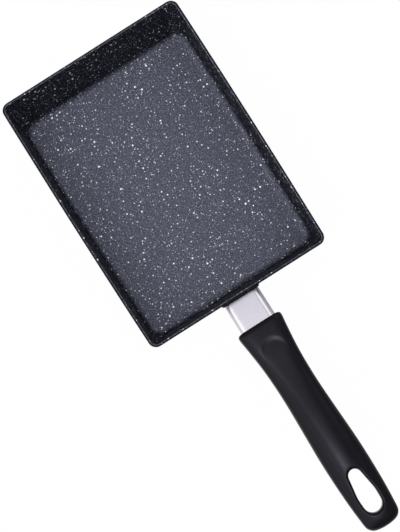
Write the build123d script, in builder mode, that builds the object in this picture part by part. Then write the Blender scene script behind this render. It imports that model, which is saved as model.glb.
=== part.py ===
from build123d import *
import os
from math import cos, radians, sin, tan

# Tamagoyaki pan: a small rectangular omelette pan with a moulded handle that is screwed on.
#
# Frame, in millimetres: the origin is on the underside of the base, below the centre of the
# rim. +X points to the handle, +Z is up. "Far" is the side away from the handle, where the
# wall slopes so that a rolled omelette can be turned out, and "near" is the handle's side.

os.makedirs("parts", exist_ok=True)

# Driving sizes of the pan body
rim_length = 180.0
rim_width = 130.0
pan_height = 32.0
wall_thickness = 2.0
floor_thickness = 3.0
wall_draft_degrees = 4.0
far_wall_degrees = 27.0
side_bow = 0.6
rim_corner_radius = 5.2
inner_fillet_radius = 6.0
base_corner_land = 5.0
outer_fillet_radius = 9.0
rim_edge_radius = 0.8

# Boss on the near wall, with the spigot that the flame guard slides over
pad_stand_out = 1.4
pad_side_land = 1.35
pad_below_rim = 3.5
pad_foot_height = 5.0
pad_corner_radius = 5.0
pad_shoulder_radius = 1.2
spigot_length = 8.0

# Base plate, and the pan metal that fills its holes
plate_margin = 14.6
plate_thickness = 0.6
plate_corner_radius = 9.0
plate_hole_radius = 3.0
plate_hole_spacing = 11.0
plate_edge_land = 4.0
plate_clearance = 0.1

# Flame guard, a drawn stainless tube of rounded rectangular section
guard_width = 24.8
guard_height = 14.5
guard_corner_radius = 4.5
guard_sheet = 1.0
guard_clearance = 0.15
guard_seat_depth = 3.0
guard_reach = 21.9

# The handle's centre line rises from the pan and flattens along a shallow arc
front_rise_degrees = 11.0
tail_rise_degrees = 8.0

# Plastic that surrounds the flame guard at the handle's front, which sets the front section
front_side_lip = 3.55
front_top_lip = 4.05

# Stations of the handle behind its front: the run from the station before, the width, the height
collar_run = 12.0
collar_width = 28.7
collar_height = 21.0
neck_run = 15.5
neck_width = 25.8
neck_height = 18.8
waist_run = 20.5
waist_width = 24.7
waist_height = 17.2
grip_run = 25.0
grip_width = 26.1
grip_height = 18.2
palm_run = 22.0
palm_width = 27.5
palm_height = 18.8
heel_run = 26.0
heel_width = 26.5
heel_height = 16.4
tail_run = 25.5
tail_width = 23.2
tail_height = 12.5

# Shape of each section: how far its four sides are crowned, and its corners
crown_share = 0.09
side_bulge_share = 0.05
section_corner_share = 0.38
front_edge_radius = 1.6
tail_edge_share = 0.36
tail_bow_radius = 34.0

# Hanging slot, an egg shape that is narrower towards the pan
slot_tail_land = 9.1
slot_length = 31.4
slot_nose_radius = 4.6
slot_belly_radius = 6.5
slot_heel_radius = 6.2
slot_belly_share = 0.56
slot_edge_radius = 1.3

# Thumb rest, a shallow scoop in the top of the handle behind its collar
thumb_reach = 9.5
thumb_length = 42.0
thumb_nose_length = 8.0
thumb_half_width = 9.4
thumb_depth = 1.3
thumb_fall_degrees = 0.6
thumb_wall_degrees = 50.0
quarter_turn_degrees = 90.0

# Handle screw and what it holds. Threads are plain cylinders with a small clearance.
screw_length = 35.0
screw_radius = 2.5
screw_head_radius = 4.75
screw_head_height = 3.6
screw_head_edge_radius = 1.2
screw_point_chamfer = 0.6
screw_point_gap = 1.0
recess_span = 5.0
recess_slot = 1.1
recess_depth = 2.2
screw_clearance = 0.25
thread_clearance = 0.05
driver_clearance = 0.25
washer_thickness = 1.0
washer_outer_gap = 0.5
washer_bore_gap = 0.2
spring_thickness = 1.2
spring_outer_gap = 0.6
spring_bore_gap = 0.15
spring_split = 0.9
insert_wall = 0.95
insert_length = 9.0
insert_groove_width = 1.4
insert_groove_depth = 0.4
insert_clearance = 0.02
insert_setback = 0.3

# Every cut runs past the surface that it opens by this much
overrun = 2.0

# Places that follow from the sizes above
draft = tan(radians(wall_draft_degrees))
far_slope = tan(radians(far_wall_degrees))
near_rim_x = rim_length / 2
far_rim_x = -rim_length / 2
near_base_x = near_rim_x - pan_height * draft
far_base_x = far_rim_x + pan_height * far_slope
base_half_width = rim_width / 2 - pan_height * draft
base_corner_radius = inner_fillet_radius + base_corner_land

pad_face_x = near_rim_x + pad_stand_out
pad_width = guard_width + 2 * pad_side_land
pad_height = pan_height - pad_below_rim - pad_foot_height
pad_centre_z = pad_foot_height + pad_height / 2

plate_length = near_base_x - far_base_x - 2 * plate_margin
plate_width = 2 * (base_half_width - plate_margin)
plate_centre_x = (near_base_x + far_base_x) / 2

# The flame guard's axis leaves the middle of the boss and meets the handle's front face
front_rise = radians(front_rise_degrees)
guard_foot = Vector(pad_face_x, 0, pad_centre_z)
guard_direction = Vector(cos(front_rise), 0, sin(front_rise))
handle_front = guard_foot + guard_direction * guard_reach

# Sections of the handle, as the distance from its front, the width and the height
front_width = guard_width + 2 * front_side_lip
front_height = guard_height + 2 * front_top_lip
station_runs = (
    (0, front_width, front_height),
    (collar_run, collar_width, collar_height),
    (neck_run, neck_width, neck_height),
    (waist_run, waist_width, waist_height),
    (grip_run, grip_width, grip_height),
    (palm_run, palm_width, palm_height),
    (heel_run, heel_width, heel_height),
    (tail_run, tail_width, tail_height),
)
handle_length = sum(run for run, width, height in station_runs)
slot_reach = handle_length - slot_tail_land - slot_length
tail_edge_radius = tail_height * tail_edge_share

# The screw is level and runs through the middle of the flame guard's open length
screw_z = (guard_foot.Z + handle_front.Z) / 2
spigot_end_x = pad_face_x + spigot_length
insert_end_x = spigot_end_x - insert_setback
insert_root_x = insert_end_x - insert_length
screw_point_x = insert_root_x + screw_point_gap
screw_head_x = screw_point_x + screw_length
spring_x = screw_head_x - spring_thickness
seat_x = spring_x - washer_thickness
thread_radius = screw_radius + thread_clearance
insert_radius = thread_radius + insert_wall
driver_bore_radius = screw_head_radius + driver_clearance


def pan_section(height, rim_inset):
    """The pan's outline at a height, inset from the rim, with sides that bow outwards."""
    drop = pan_height - height
    near_x = near_rim_x - rim_inset - drop * draft
    far_x = far_rim_x + rim_inset + drop * far_slope
    half_width = rim_width / 2 - side_bow - rim_inset - drop * draft
    bowed = half_width + side_bow
    middle_x = (near_x + far_x) / 2
    corner_radius = rim_corner_radius - rim_inset
    corner_radius += (base_corner_radius - corner_radius) * drop / pan_height
    with BuildSketch() as section:
        with BuildLine():
            Line((near_x, -half_width), (near_x, half_width))
            ThreePointArc((near_x, half_width), (middle_x, bowed), (far_x, half_width))
            Line((far_x, half_width), (far_x, -half_width))
            ThreePointArc((far_x, -half_width), (middle_x, -bowed), (near_x, -half_width))
        make_face()
        fillet(section.vertices(), corner_radius)
    return section.sketch


def handle_section(width, height):
    """One crowned section of the handle: four shallow arcs with rounded corners."""
    half_width = width / 2
    half_height = height / 2
    corner_y = half_width - width * side_bulge_share
    corner_z = half_height - height * crown_share
    with BuildSketch() as section:
        with BuildLine():
            ThreePointArc((-corner_y, corner_z), (0, half_height), (corner_y, corner_z))
            ThreePointArc((corner_y, corner_z), (half_width, 0), (corner_y, -corner_z))
            ThreePointArc((corner_y, -corner_z), (0, -half_height), (-corner_y, -corner_z))
            ThreePointArc((-corner_y, -corner_z), (-half_width, 0), (-corner_y, corner_z))
        make_face()
        fillet(section.vertices(), height * section_corner_share)
    return section.sketch


def guard_plane(along):
    """Plane square to the flame guard's axis, at a distance from the boss, with Y across it."""
    return Plane(origin=guard_foot + guard_direction * along, x_dir=(0, 1, 0), z_dir=guard_direction)


def guard_section(inset):
    """The flame guard's outline, drawn in by a distance."""
    with BuildSketch() as section:
        RectangleRounded(guard_width - 2 * inset, guard_height - 2 * inset, guard_corner_radius - inset)
    return section.sketch


def plate_section(clearance):
    """The base plate with its rows of holes, grown by a clearance at every edge."""
    columns = int((plate_length - 2 * plate_edge_land) / plate_hole_spacing)
    rows = int((plate_width - 2 * plate_edge_land) / plate_hole_spacing)
    with BuildSketch() as section:
        with Locations((plate_centre_x, 0)):
            RectangleRounded(
                plate_length + 2 * clearance,
                plate_width + 2 * clearance,
                plate_corner_radius + clearance,
            )
            with GridLocations(plate_hole_spacing, plate_hole_spacing, columns, rows):
                Circle(plate_hole_radius - clearance, mode=Mode.SUBTRACT)
    return section.sketch


def screw_plane(x):
    """Plane square to the handle screw's axis, facing the handle."""
    return Plane(origin=(x, 0, screw_z), x_dir=(0, 1, 0), z_dir=(1, 0, 0))


# Centre line of the handle
with BuildLine(Plane.XZ) as spine:
    JernArc(
        start=(handle_front.X, handle_front.Z),
        tangent=(guard_direction.X, guard_direction.Z),
        radius=handle_length / radians(front_rise_degrees - tail_rise_degrees),
        arc_size=tail_rise_degrees - front_rise_degrees,
    )
spine_curve = spine.line


def handle_plane(reach):
    """Plane square to the handle's centre line, at a distance from its front, with Y across it."""
    share = reach / handle_length
    return Plane(origin=spine_curve @ share, x_dir=(0, 1, 0), z_dir=spine_curve % share)


def handle_top_plane(reach):
    """Plane that lies on the handle's centre line there, with X along it and Z out of its top."""
    share = reach / handle_length
    along = spine_curve % share
    return Plane(origin=spine_curve @ share, x_dir=along, z_dir=along.cross(Vector(0, 1, 0)))


# The thumb rest's floor starts below the crest of the handle's top and falls a little with it
thumb_floor_plane = handle_top_plane(thumb_reach).offset(collar_height / 2 - thumb_depth)
thumb_floor_plane = thumb_floor_plane.rotated((0, thumb_fall_degrees, 0))
thumb_rise = thumb_depth + overrun
thumb_spread = thumb_rise * tan(radians(thumb_wall_degrees))


def thumb_outline(spread):
    """The thumb rest from above, rounded at the front and grown by a spread all round."""
    nose = thumb_nose_length
    half_width = thumb_half_width + spread
    with BuildSketch() as outline:
        with BuildLine():
            EllipticalCenterArc(
                (nose, 0),
                nose + spread,
                half_width,
                start_angle=quarter_turn_degrees,
                arc_size=2 * quarter_turn_degrees,
            )
            Polyline(
                (nose, half_width),
                (thumb_length, half_width),
                (thumb_length, -half_width),
                (nose, -half_width),
            )
        make_face()
    return outline.sketch


# Pan body
with BuildPart() as pan_body:
    with BuildSketch():
        add(pan_section(0, 0))
    with BuildSketch(Plane.XY.offset(pan_height)):
        add(pan_section(pan_height, 0))
    loft(ruled=True)
    fillet(pan_body.faces().sort_by(Axis.Z)[0].edges(), outer_fillet_radius)
    with BuildSketch(Plane.YZ.offset(pad_face_x)):
        with Locations((0, pad_centre_z)):
            RectangleRounded(pad_width, pad_height, pad_corner_radius)
    extrude(amount=-outer_fillet_radius)
    fillet(pan_body.faces().sort_by(Axis.X)[-1].edges(), pad_shoulder_radius)
    with BuildSketch(guard_plane(-overrun)):
        add(guard_section(guard_sheet + guard_clearance))
    extrude(amount=guard_reach)
    split(bisect_by=Plane.YZ.offset(spigot_end_x), keep=Keep.BOTTOM)
    with BuildSketch(Plane.XY.offset(floor_thickness)):
        add(pan_section(floor_thickness, wall_thickness))
    with BuildSketch(Plane.XY.offset(pan_height)):
        add(pan_section(pan_height, wall_thickness))
    loft(ruled=True, mode=Mode.SUBTRACT)
    floor_face = pan_body.faces(Select.LAST).filter_by(Axis.Z).sort_by(Axis.Z)[0]
    fillet(floor_face.edges(), inner_fillet_radius)
    fillet(pan_body.faces().sort_by(Axis.Z)[-1].edges(), rim_edge_radius)
    with BuildSketch():
        add(plate_section(plate_clearance))
    extrude(amount=plate_thickness, mode=Mode.SUBTRACT)
    with BuildSketch(screw_plane(insert_root_x)):
        Circle(insert_radius + insert_clearance)
    extrude(amount=insert_length + overrun, mode=Mode.SUBTRACT)

pan_body.part.label = "pan_body"
export_step(pan_body.part, "parts/pan_body.step")

# Base plate, pressed into the base so that the pan metal fills its holes
with BuildPart() as induction_plate:
    with BuildSketch():
        add(plate_section(0))
    extrude(amount=plate_thickness)

induction_plate.part.label = "induction_plate"
export_step(induction_plate.part, "parts/induction_plate.step")

# Steel insert, fixed in the boss, with a groove that the metal grips
with BuildPart() as threaded_insert:
    with BuildSketch(screw_plane(insert_root_x)):
        Circle(insert_radius)
        Circle(thread_radius, mode=Mode.SUBTRACT)
    extrude(amount=insert_length)
    with BuildSketch(screw_plane(insert_root_x + (insert_length - insert_groove_width) / 2)):
        Circle(insert_radius + overrun)
        Circle(insert_radius - insert_groove_depth, mode=Mode.SUBTRACT)
    extrude(amount=insert_groove_width, mode=Mode.SUBTRACT)

threaded_insert.part.label = "threaded_insert"
export_step(threaded_insert.part, "parts/threaded_insert.step")

# Flame guard, cut upright where it meets the boss and square where it enters the handle
with BuildPart() as flame_guard:
    with BuildSketch(guard_plane(-guard_height)):
        add(guard_section(0))
        add(guard_section(guard_sheet), mode=Mode.SUBTRACT)
    extrude(amount=guard_height + guard_reach + guard_seat_depth)
    split(bisect_by=Plane.YZ.offset(pad_face_x), keep=Keep.TOP)

flame_guard.part.label = "flame_guard"
export_step(flame_guard.part, "parts/flame_guard.step")

# Handle
with BuildPart() as handle:
    reach = 0
    for run, width, height in station_runs:
        reach += run
        with BuildSketch(handle_plane(reach)):
            add(handle_section(width, height))
    loft()
    with BuildSketch(handle_top_plane(handle_length)):
        Rectangle(tail_height, front_width)
        with Locations((-tail_bow_radius, 0)):
            Circle(tail_bow_radius, mode=Mode.SUBTRACT)
    extrude(amount=tail_height, both=True, mode=Mode.SUBTRACT)
    fillet(handle.faces().sort_by(Axis.X)[-1].edges(), tail_edge_radius)
    fillet(handle.faces().sort_by(Axis.X)[0].edges(), front_edge_radius)
    with BuildSketch(handle_top_plane(slot_reach)):
        with Locations((slot_nose_radius, 0)):
            Circle(slot_nose_radius)
        with Locations((slot_length * slot_belly_share, 0)):
            Circle(slot_belly_radius)
        with Locations((slot_length - slot_heel_radius, 0)):
            Circle(slot_heel_radius)
        make_hull()
    extrude(amount=palm_height, both=True, mode=Mode.SUBTRACT)
    slot_walls = handle.faces(Select.LAST).filter_by(GeomType.BSPLINE, reverse=True)
    fillet(slot_walls.edges().filter_by(GeomType.LINE, reverse=True), slot_edge_radius)
    with BuildSketch(thumb_floor_plane):
        add(thumb_outline(0))
    with BuildSketch(thumb_floor_plane.offset(thumb_rise)):
        add(thumb_outline(thumb_spread))
    loft(ruled=True, mode=Mode.SUBTRACT)
    with BuildSketch(handle_plane(0)):
        add(guard_section(-guard_clearance))
    extrude(amount=guard_seat_depth, mode=Mode.SUBTRACT)
    with BuildSketch(screw_plane(spigot_end_x)):
        Circle(screw_radius + screw_clearance)
    extrude(amount=seat_x - spigot_end_x + overrun, mode=Mode.SUBTRACT)
    with BuildSketch(screw_plane(seat_x)):
        Circle(driver_bore_radius)
    extrude(amount=handle_length, mode=Mode.SUBTRACT)

handle.part.label = "handle"
export_step(handle.part, "parts/handle.step")

# Handle screw: pan head with a cross recess, plain shank in place of its thread
with BuildPart() as handle_screw:
    with BuildSketch(screw_plane(screw_point_x)):
        Circle(screw_radius)
    extrude(amount=screw_length)
    chamfer(handle_screw.edges().sort_by(Axis.X)[0], screw_point_chamfer)
    with BuildSketch(screw_plane(screw_head_x)):
        Circle(screw_head_radius)
    extrude(amount=screw_head_height)
    fillet(handle_screw.edges().sort_by(Axis.X)[-1], screw_head_edge_radius)
    with BuildSketch(screw_plane(screw_head_x + screw_head_height - recess_depth)):
        Rectangle(recess_span, recess_slot)
        Rectangle(recess_slot, recess_span)
    extrude(amount=recess_depth + overrun, mode=Mode.SUBTRACT)

handle_screw.part.label = "handle_screw"
export_step(handle_screw.part, "parts/handle_screw.step")

# Plain washer against the seat in the handle
with BuildPart() as flat_washer:
    with BuildSketch(screw_plane(seat_x)):
        Circle(driver_bore_radius - washer_outer_gap)
        Circle(screw_radius + washer_bore_gap, mode=Mode.SUBTRACT)
    extrude(amount=washer_thickness)

flat_washer.part.label = "flat_washer"
export_step(flat_washer.part, "parts/flat_washer.step")

# Split spring washer, pressed flat between the plain washer and the screw's head
with BuildPart() as spring_washer:
    with BuildSketch(screw_plane(spring_x)):
        Circle(driver_bore_radius - spring_outer_gap)
        Circle(screw_radius + spring_bore_gap, mode=Mode.SUBTRACT)
        with Locations((0, driver_bore_radius)):
            Rectangle(spring_split, 2 * driver_bore_radius, mode=Mode.SUBTRACT)
    extrude(amount=spring_thickness)

spring_washer.part.label = "spring_washer"
export_step(spring_washer.part, "parts/spring_washer.step")
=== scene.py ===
"""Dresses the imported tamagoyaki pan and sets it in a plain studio.

The CAD frame gives the pan body, base plate, flame guard and fasteners, which keep their shapes
and get their finishes here. The handle is modelled again as one soft moulding in the place of
the CAD handle. A pale floor, soft lamps and the camera complete the scene.
"""

import logging
import math
from dataclasses import dataclass
from enum import Enum
from typing import Any

import bmesh
import bpy
from bmesh.types import BMEdge, BMesh, BMVert
from bpy.types import Material, Mesh, MeshPolygon, Node, NodeSocket, NodeTree, Object
from mathutils import Matrix, Vector


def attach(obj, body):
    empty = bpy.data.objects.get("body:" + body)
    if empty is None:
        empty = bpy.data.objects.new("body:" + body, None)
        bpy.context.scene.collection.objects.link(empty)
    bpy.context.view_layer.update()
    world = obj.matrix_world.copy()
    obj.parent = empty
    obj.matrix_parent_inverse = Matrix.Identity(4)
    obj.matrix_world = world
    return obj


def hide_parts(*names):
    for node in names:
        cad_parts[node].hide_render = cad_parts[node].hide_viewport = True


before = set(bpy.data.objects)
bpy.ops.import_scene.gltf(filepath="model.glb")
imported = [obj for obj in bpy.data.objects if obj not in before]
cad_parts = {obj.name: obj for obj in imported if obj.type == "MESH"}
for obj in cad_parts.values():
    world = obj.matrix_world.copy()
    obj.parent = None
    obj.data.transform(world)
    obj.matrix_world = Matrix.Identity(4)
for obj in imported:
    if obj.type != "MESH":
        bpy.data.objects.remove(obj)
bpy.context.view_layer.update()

LOG = logging.getLogger("tamagoyaki_pan")

MM = 0.001
BODY = "root"

# Steps in which a round outline is drawn before points are spaced along it.
OUTLINE_STEPS = 720

# Blender's wave texture turns through this many radians over one unit of length.
WAVE_RADIANS = 20.0

# The points of one cross-section of the handle, from the middle of its top towards +Y.
Ring = list[BMVert]


class Slot(Enum):
    """Material slot names of the record."""

    PHENOLIC = "phenolic"


def linear(code: str) -> tuple[float, float, float, float]:
    """Turns an sRGB hex colour to the linear values that Blender's sockets hold.

    The numbers are those of the sRGB curve itself.

    Args:
        code: Six hex digits with a leading hash.

    Returns:
        Linear red, green and blue, and an alpha of 1.
    """
    shares = (int(code[start : start + 2], 16) / 255 for start in (1, 3, 5))
    red, green, blue = (
        share / 12.92 if share <= 0.04045 else ((share + 0.055) / 1.055) ** 2.4 for share in shares
    )
    return red, green, blue, 1.0


def add_node(
    tree: NodeTree,
    kind: str,
    settings: dict[str, Any] | None = None,
    inputs: dict[str | int, Any] | None = None,
) -> Node:
    """Adds a shader node and fills its settings and sockets.

    Args:
        tree: Node tree that gets the node.
        kind: Blender's type name of the node.
        settings: Values of the node's own properties.
        inputs: What each named or numbered input gets. It is a constant, an output socket to
            link, or a node whose first live output is linked.

    Returns:
        The new node.
    """
    node = tree.nodes.new(kind)
    for name, value in (settings or {}).items():
        setattr(node, name, value)
    for name, value in (inputs or {}).items():
        if isinstance(value, Node):
            value = next(socket for socket in value.outputs if socket.enabled)
        if isinstance(value, NodeSocket):
            tree.links.new(value, node.inputs[name])
        else:
            node.inputs[name].default_value = value
    return node


def dress(node: str, material: Material) -> None:
    """Gives every material slot of a CAD node one material.

    Args:
        node: Name of the node.
        material: The finish that it gets.
    """
    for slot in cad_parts[node].material_slots:
        slot.material = material
    LOG.info("%s wears %s", node, material.name)


def spaced(outline: list[Vector], count: int) -> list[Vector]:
    """Puts points at equal distances along a closed outline.

    Args:
        outline: Dense points of the outline, of which the last is the first again.
        count: Number of points wanted.

    Returns:
        The points, from the outline's first one on.
    """
    runs = [0.0]
    for start, end in zip(outline, outline[1:]):
        runs.append(runs[-1] + (end - start).length)
    points = []
    here = 0
    for index in range(count):
        goal = runs[-1] * index / count
        while runs[here + 1] < goal:
            here += 1
        share = (goal - runs[here]) / (runs[here + 1] - runs[here])
        points.append(outline[here].lerp(outline[here + 1], share))
    return points


def countered(points: list[Vector]) -> list[Vector]:
    """Moves a closed ring of points out by what smoothing the surface draws them in.

    Smoothing draws a point in by a third of its distance from the middle of its neighbours.

    Args:
        points: Points that the smoothed surface has to meet.

    Returns:
        Points for the surface before it is smoothed.
    """
    befores = points[-1:] + points[:-1]
    afters = points[1:] + points[:1]
    return [
        here + (here - (before + after) / 2) / 3
        for before, here, after in zip(befores, points, afters)
    ]


def settle(piece: Object) -> None:
    """Turns a piece and its modifiers to one plain mesh.

    Args:
        piece: Object that is linked to the scene, which is changed.
    """
    result = piece.evaluated_get(bpy.context.evaluated_depsgraph_get())
    mesh = bpy.data.meshes.new_from_object(result)
    piece.modifiers.clear()
    piece.data = mesh


@dataclass(frozen=True)
class Finish:
    """A material and how its surface was made.

    Attributes:
        name: Common name of the material and how its surface was made.
    """

    name: str

    def surface(self, tree: NodeTree, place: NodeSocket) -> Node:
        """Makes the finish's shader, which each kind of finish does in its own way."""
        raise NotImplementedError

    def make(self) -> Material:
        """Makes the Blender material.

        Returns:
            The material, with its shader linked to its output.
        """
        material = bpy.data.materials.new(self.name)
        material.use_nodes = True
        tree = material.node_tree
        tree.nodes.clear()
        place = add_node(tree, "ShaderNodeTexCoord").outputs["Object"]
        add_node(tree, "ShaderNodeOutputMaterial", inputs={"Surface": self.surface(tree, place)})
        return material


@dataclass(frozen=True)
class Fleck:
    """One size of mineral fleck in the coating.

    Each fleck is a ball round one point in a cube of space, so that the surface cuts it to a
    spot of its own size.

    Attributes:
        spacing: Edge of the cube that holds one fleck, in millimetres.
        radius: Radius of the largest fleck, in millimetres.
        smallest: Share of that radius that the smallest fleck has.
        dull: Colour of the dullest fleck.
        bright: Colour of the brightest fleck.
    """

    spacing: float
    radius: float
    smallest: float
    dull: str
    bright: str


@dataclass(frozen=True)
class StoneCoating(Finish):
    """PTFE non-stick coating with mineral flecks, sprayed on cast aluminium and baked.

    The eye sees a charcoal ground with a cool cast and a low sheen. A fine sand in the film makes
    the sheen grainy, and white and grey flecks of several sizes are splashed over it. Steep faces
    get a darker colour, with their dust and flecks dimmed, and almost no sheen. This is partly the
    thinner spray that reaches them and partly painted shade for the walls.

    Attributes:
        ground: Colour of the film.
        dust: Colour of the film where fine mineral dust clouds it.
        film_sheen: Specular level of the film between the sand.
        film_roughness: Roughness of the film between the sand.
        sand_sheen: Specular level where the film is sandy.
        sand_roughness: Roughness where the film is sandy.
        steep_sheen: Specular level of steep faces.
        steep_roughness: Roughness of steep faces.
        slopes: Upward parts of the normal between which a face goes from steep to level.
        sheen_tint: Colour that the sheen takes.
        refraction: Index of refraction of the pigmented film.
        sand_size: Size of the sandy patches, in millimetres.
        sand_contrast: Noise values between which the film turns sandy.
        steep_shaded_share: Share of the coating's colour that steep faces keep. The rest is the
            darker ground, laid on as painted shade.
        flecks: The sizes of fleck, from fine to coarse.
        fleck_edge: Share of a fleck's radius over which its edge fades to each side.
        fleck_wander: Range over which the flecks' outlines wander, in millimetres.
        wander_size: Size of those wanderings and of the dust's clouds, in millimetres.
        peel_size: Size of the orange peel's bumps, in millimetres.
        peel_depth: Depth of the orange peel, in millimetres.
    """

    name: str = "PTFE stone coating, sprayed"
    ground: str = "#0a0b10"
    dust: str = "#23252f"
    film_sheen: float = 0.54
    film_roughness: float = 0.70
    sand_sheen: float = 1.0
    sand_roughness: float = 0.66
    steep_sheen: float = 0.03
    steep_roughness: float = 0.50
    slopes: tuple[float, float] = (0.38, 0.96)
    sheen_tint: str = "#e2e7ff"
    refraction: float = 1.68
    sand_size: float = 1.0
    sand_contrast: tuple[float, float] = (0.44, 0.54)
    steep_shaded_share: float = 0.6
    flecks: tuple[Fleck, ...] = (
        Fleck(spacing=0.80, radius=0.25, smallest=0.40, dull="#3a3b44", bright="#a8a9b1"),
        Fleck(spacing=1.50, radius=0.36, smallest=0.35, dull="#6c6d76", bright="#e4e4e8"),
        Fleck(spacing=2.50, radius=0.47, smallest=0.35, dull="#b8b9c0", bright="#ffffff"),
        Fleck(spacing=3.90, radius=0.64, smallest=0.45, dull="#ececf0", bright="#ffffff"),
    )
    fleck_edge: float = 0.18
    fleck_wander: float = 0.50
    wander_size: float = 0.8
    peel_size: float = 1.6
    peel_depth: float = 0.02

    def flecked(self, tree: NodeTree, place: NodeSocket) -> Node:
        """Lays the flecks over the ground colour.

        Args:
            tree: Node tree of the material.
            place: Socket with Object coordinates.

        Returns:
            Node with the coating's colour.
        """
        cloud = add_node(
            tree,
            "ShaderNodeTexNoise",
            inputs={"Vector": place, "Scale": 1 / (self.wander_size * MM), "Detail": 2.0},
        ).outputs
        centred = add_node(
            tree,
            "ShaderNodeVectorMath",
            {"operation": "SUBTRACT"},
            {0: cloud["Color"], 1: (0.5, 0.5, 0.5)},
        )
        wandering = add_node(
            tree,
            "ShaderNodeVectorMath",
            {"operation": "MULTIPLY_ADD"},
            {0: centred, 1: (self.fleck_wander * MM,) * 3, 2: place},
        )
        colour = add_node(
            tree,
            "ShaderNodeMix",
            {"data_type": "RGBA"},
            {"Factor": cloud["Fac"], "A": linear(self.ground), "B": linear(self.dust)},
        )
        for fleck in self.flecks:
            cell = add_node(
                tree,
                "ShaderNodeTexVoronoi",
                {"feature": "F1", "distance": "EUCLIDEAN"},
                {"Vector": wandering, "Scale": 1 / (fleck.spacing * MM)},
            ).outputs
            chance = add_node(
                tree, "ShaderNodeSeparateColor", inputs={"Color": cell["Color"]}
            ).outputs
            rarely_large = add_node(
                tree, "ShaderNodeMath", {"operation": "POWER"}, {0: chance["Red"], 1: 2.0}
            )
            reach = add_node(
                tree,
                "ShaderNodeMapRange",
                inputs={
                    "Value": rarely_large,
                    "To Min": fleck.radius * fleck.smallest / fleck.spacing,
                    "To Max": fleck.radius / fleck.spacing,
                },
            )
            nearness = add_node(
                tree, "ShaderNodeMath", {"operation": "DIVIDE"}, {0: cell["Distance"], 1: reach}
            )
            spot = add_node(
                tree,
                "ShaderNodeMapRange",
                {"interpolation_type": "SMOOTHSTEP"},
                {
                    "Value": nearness,
                    "From Min": 1 + self.fleck_edge,
                    "From Max": 1 - self.fleck_edge,
                },
            )
            mineral = add_node(
                tree,
                "ShaderNodeMix",
                {"data_type": "RGBA"},
                {"Factor": chance["Green"], "A": linear(fleck.dull), "B": linear(fleck.bright)},
            )
            colour = add_node(
                tree,
                "ShaderNodeMix",
                {"data_type": "RGBA"},
                {"Factor": spot, "A": colour, "B": mineral},
            )
        return colour

    def surface(self, tree: NodeTree, place: NodeSocket) -> Node:
        """Makes the coated surface, with its sand and the faint orange peel of a sprayed film.

        Args:
            tree: Node tree of the material.
            place: Socket with Object coordinates.

        Returns:
            Node with the shader.
        """
        peel = add_node(
            tree,
            "ShaderNodeTexNoise",
            inputs={"Vector": place, "Scale": 1 / (self.peel_size * MM), "Detail": 2.0},
        ).outputs["Fac"]
        relief = add_node(
            tree,
            "ShaderNodeBump",
            inputs={"Strength": 1.0, "Distance": self.peel_depth * MM, "Height": peel},
        )
        colour = self.flecked(tree, place)
        # Painted shade: steep faces take this darker colour, with the dust and flecks dimmed
        # towards the ground.
        steep_shaded_colour = add_node(
            tree,
            "ShaderNodeMix",
            {"data_type": "RGBA"},
            {"Factor": self.steep_shaded_share, "A": linear(self.ground), "B": colour},
        )
        film, sand, steep = (
            add_node(
                tree,
                "ShaderNodeBsdfPrincipled",
                inputs={
                    "Base Color": cover,
                    "Roughness": roughness,
                    "IOR": self.refraction,
                    "Specular IOR Level": sheen,
                    "Specular Tint": linear(self.sheen_tint),
                    "Normal": relief,
                },
            )
            for cover, sheen, roughness in (
                (colour, self.film_sheen, self.film_roughness),
                (colour, self.sand_sheen, self.sand_roughness),
                (steep_shaded_colour, self.steep_sheen, self.steep_roughness),
            )
        )
        patches = add_node(
            tree,
            "ShaderNodeTexNoise",
            inputs={"Vector": place, "Scale": 1 / (self.sand_size * MM), "Detail": 1.0},
        ).outputs["Fac"]
        sandy = add_node(
            tree,
            "ShaderNodeMapRange",
            inputs={
                "Value": patches,
                "From Min": self.sand_contrast[0],
                "From Max": self.sand_contrast[1],
            },
        )
        sanded = add_node(tree, "ShaderNodeMixShader", inputs={0: sandy, 1: film, 2: sand})
        # Steep faces get the darker, almost sheenless layer. This is painted shade on the walls,
        # and partly the thinner spray there.
        normal = add_node(tree, "ShaderNodeTexCoord").outputs["Normal"]
        facing = add_node(tree, "ShaderNodeSeparateXYZ", inputs={"Vector": normal}).outputs["Z"]
        level = add_node(
            tree,
            "ShaderNodeMapRange",
            {"interpolation_type": "SMOOTHSTEP"},
            {"Value": facing, "From Min": self.slopes[0], "From Max": self.slopes[1]},
        )
        return add_node(tree, "ShaderNodeMixShader", inputs={0: level, 1: steep, 2: sanded})


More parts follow.
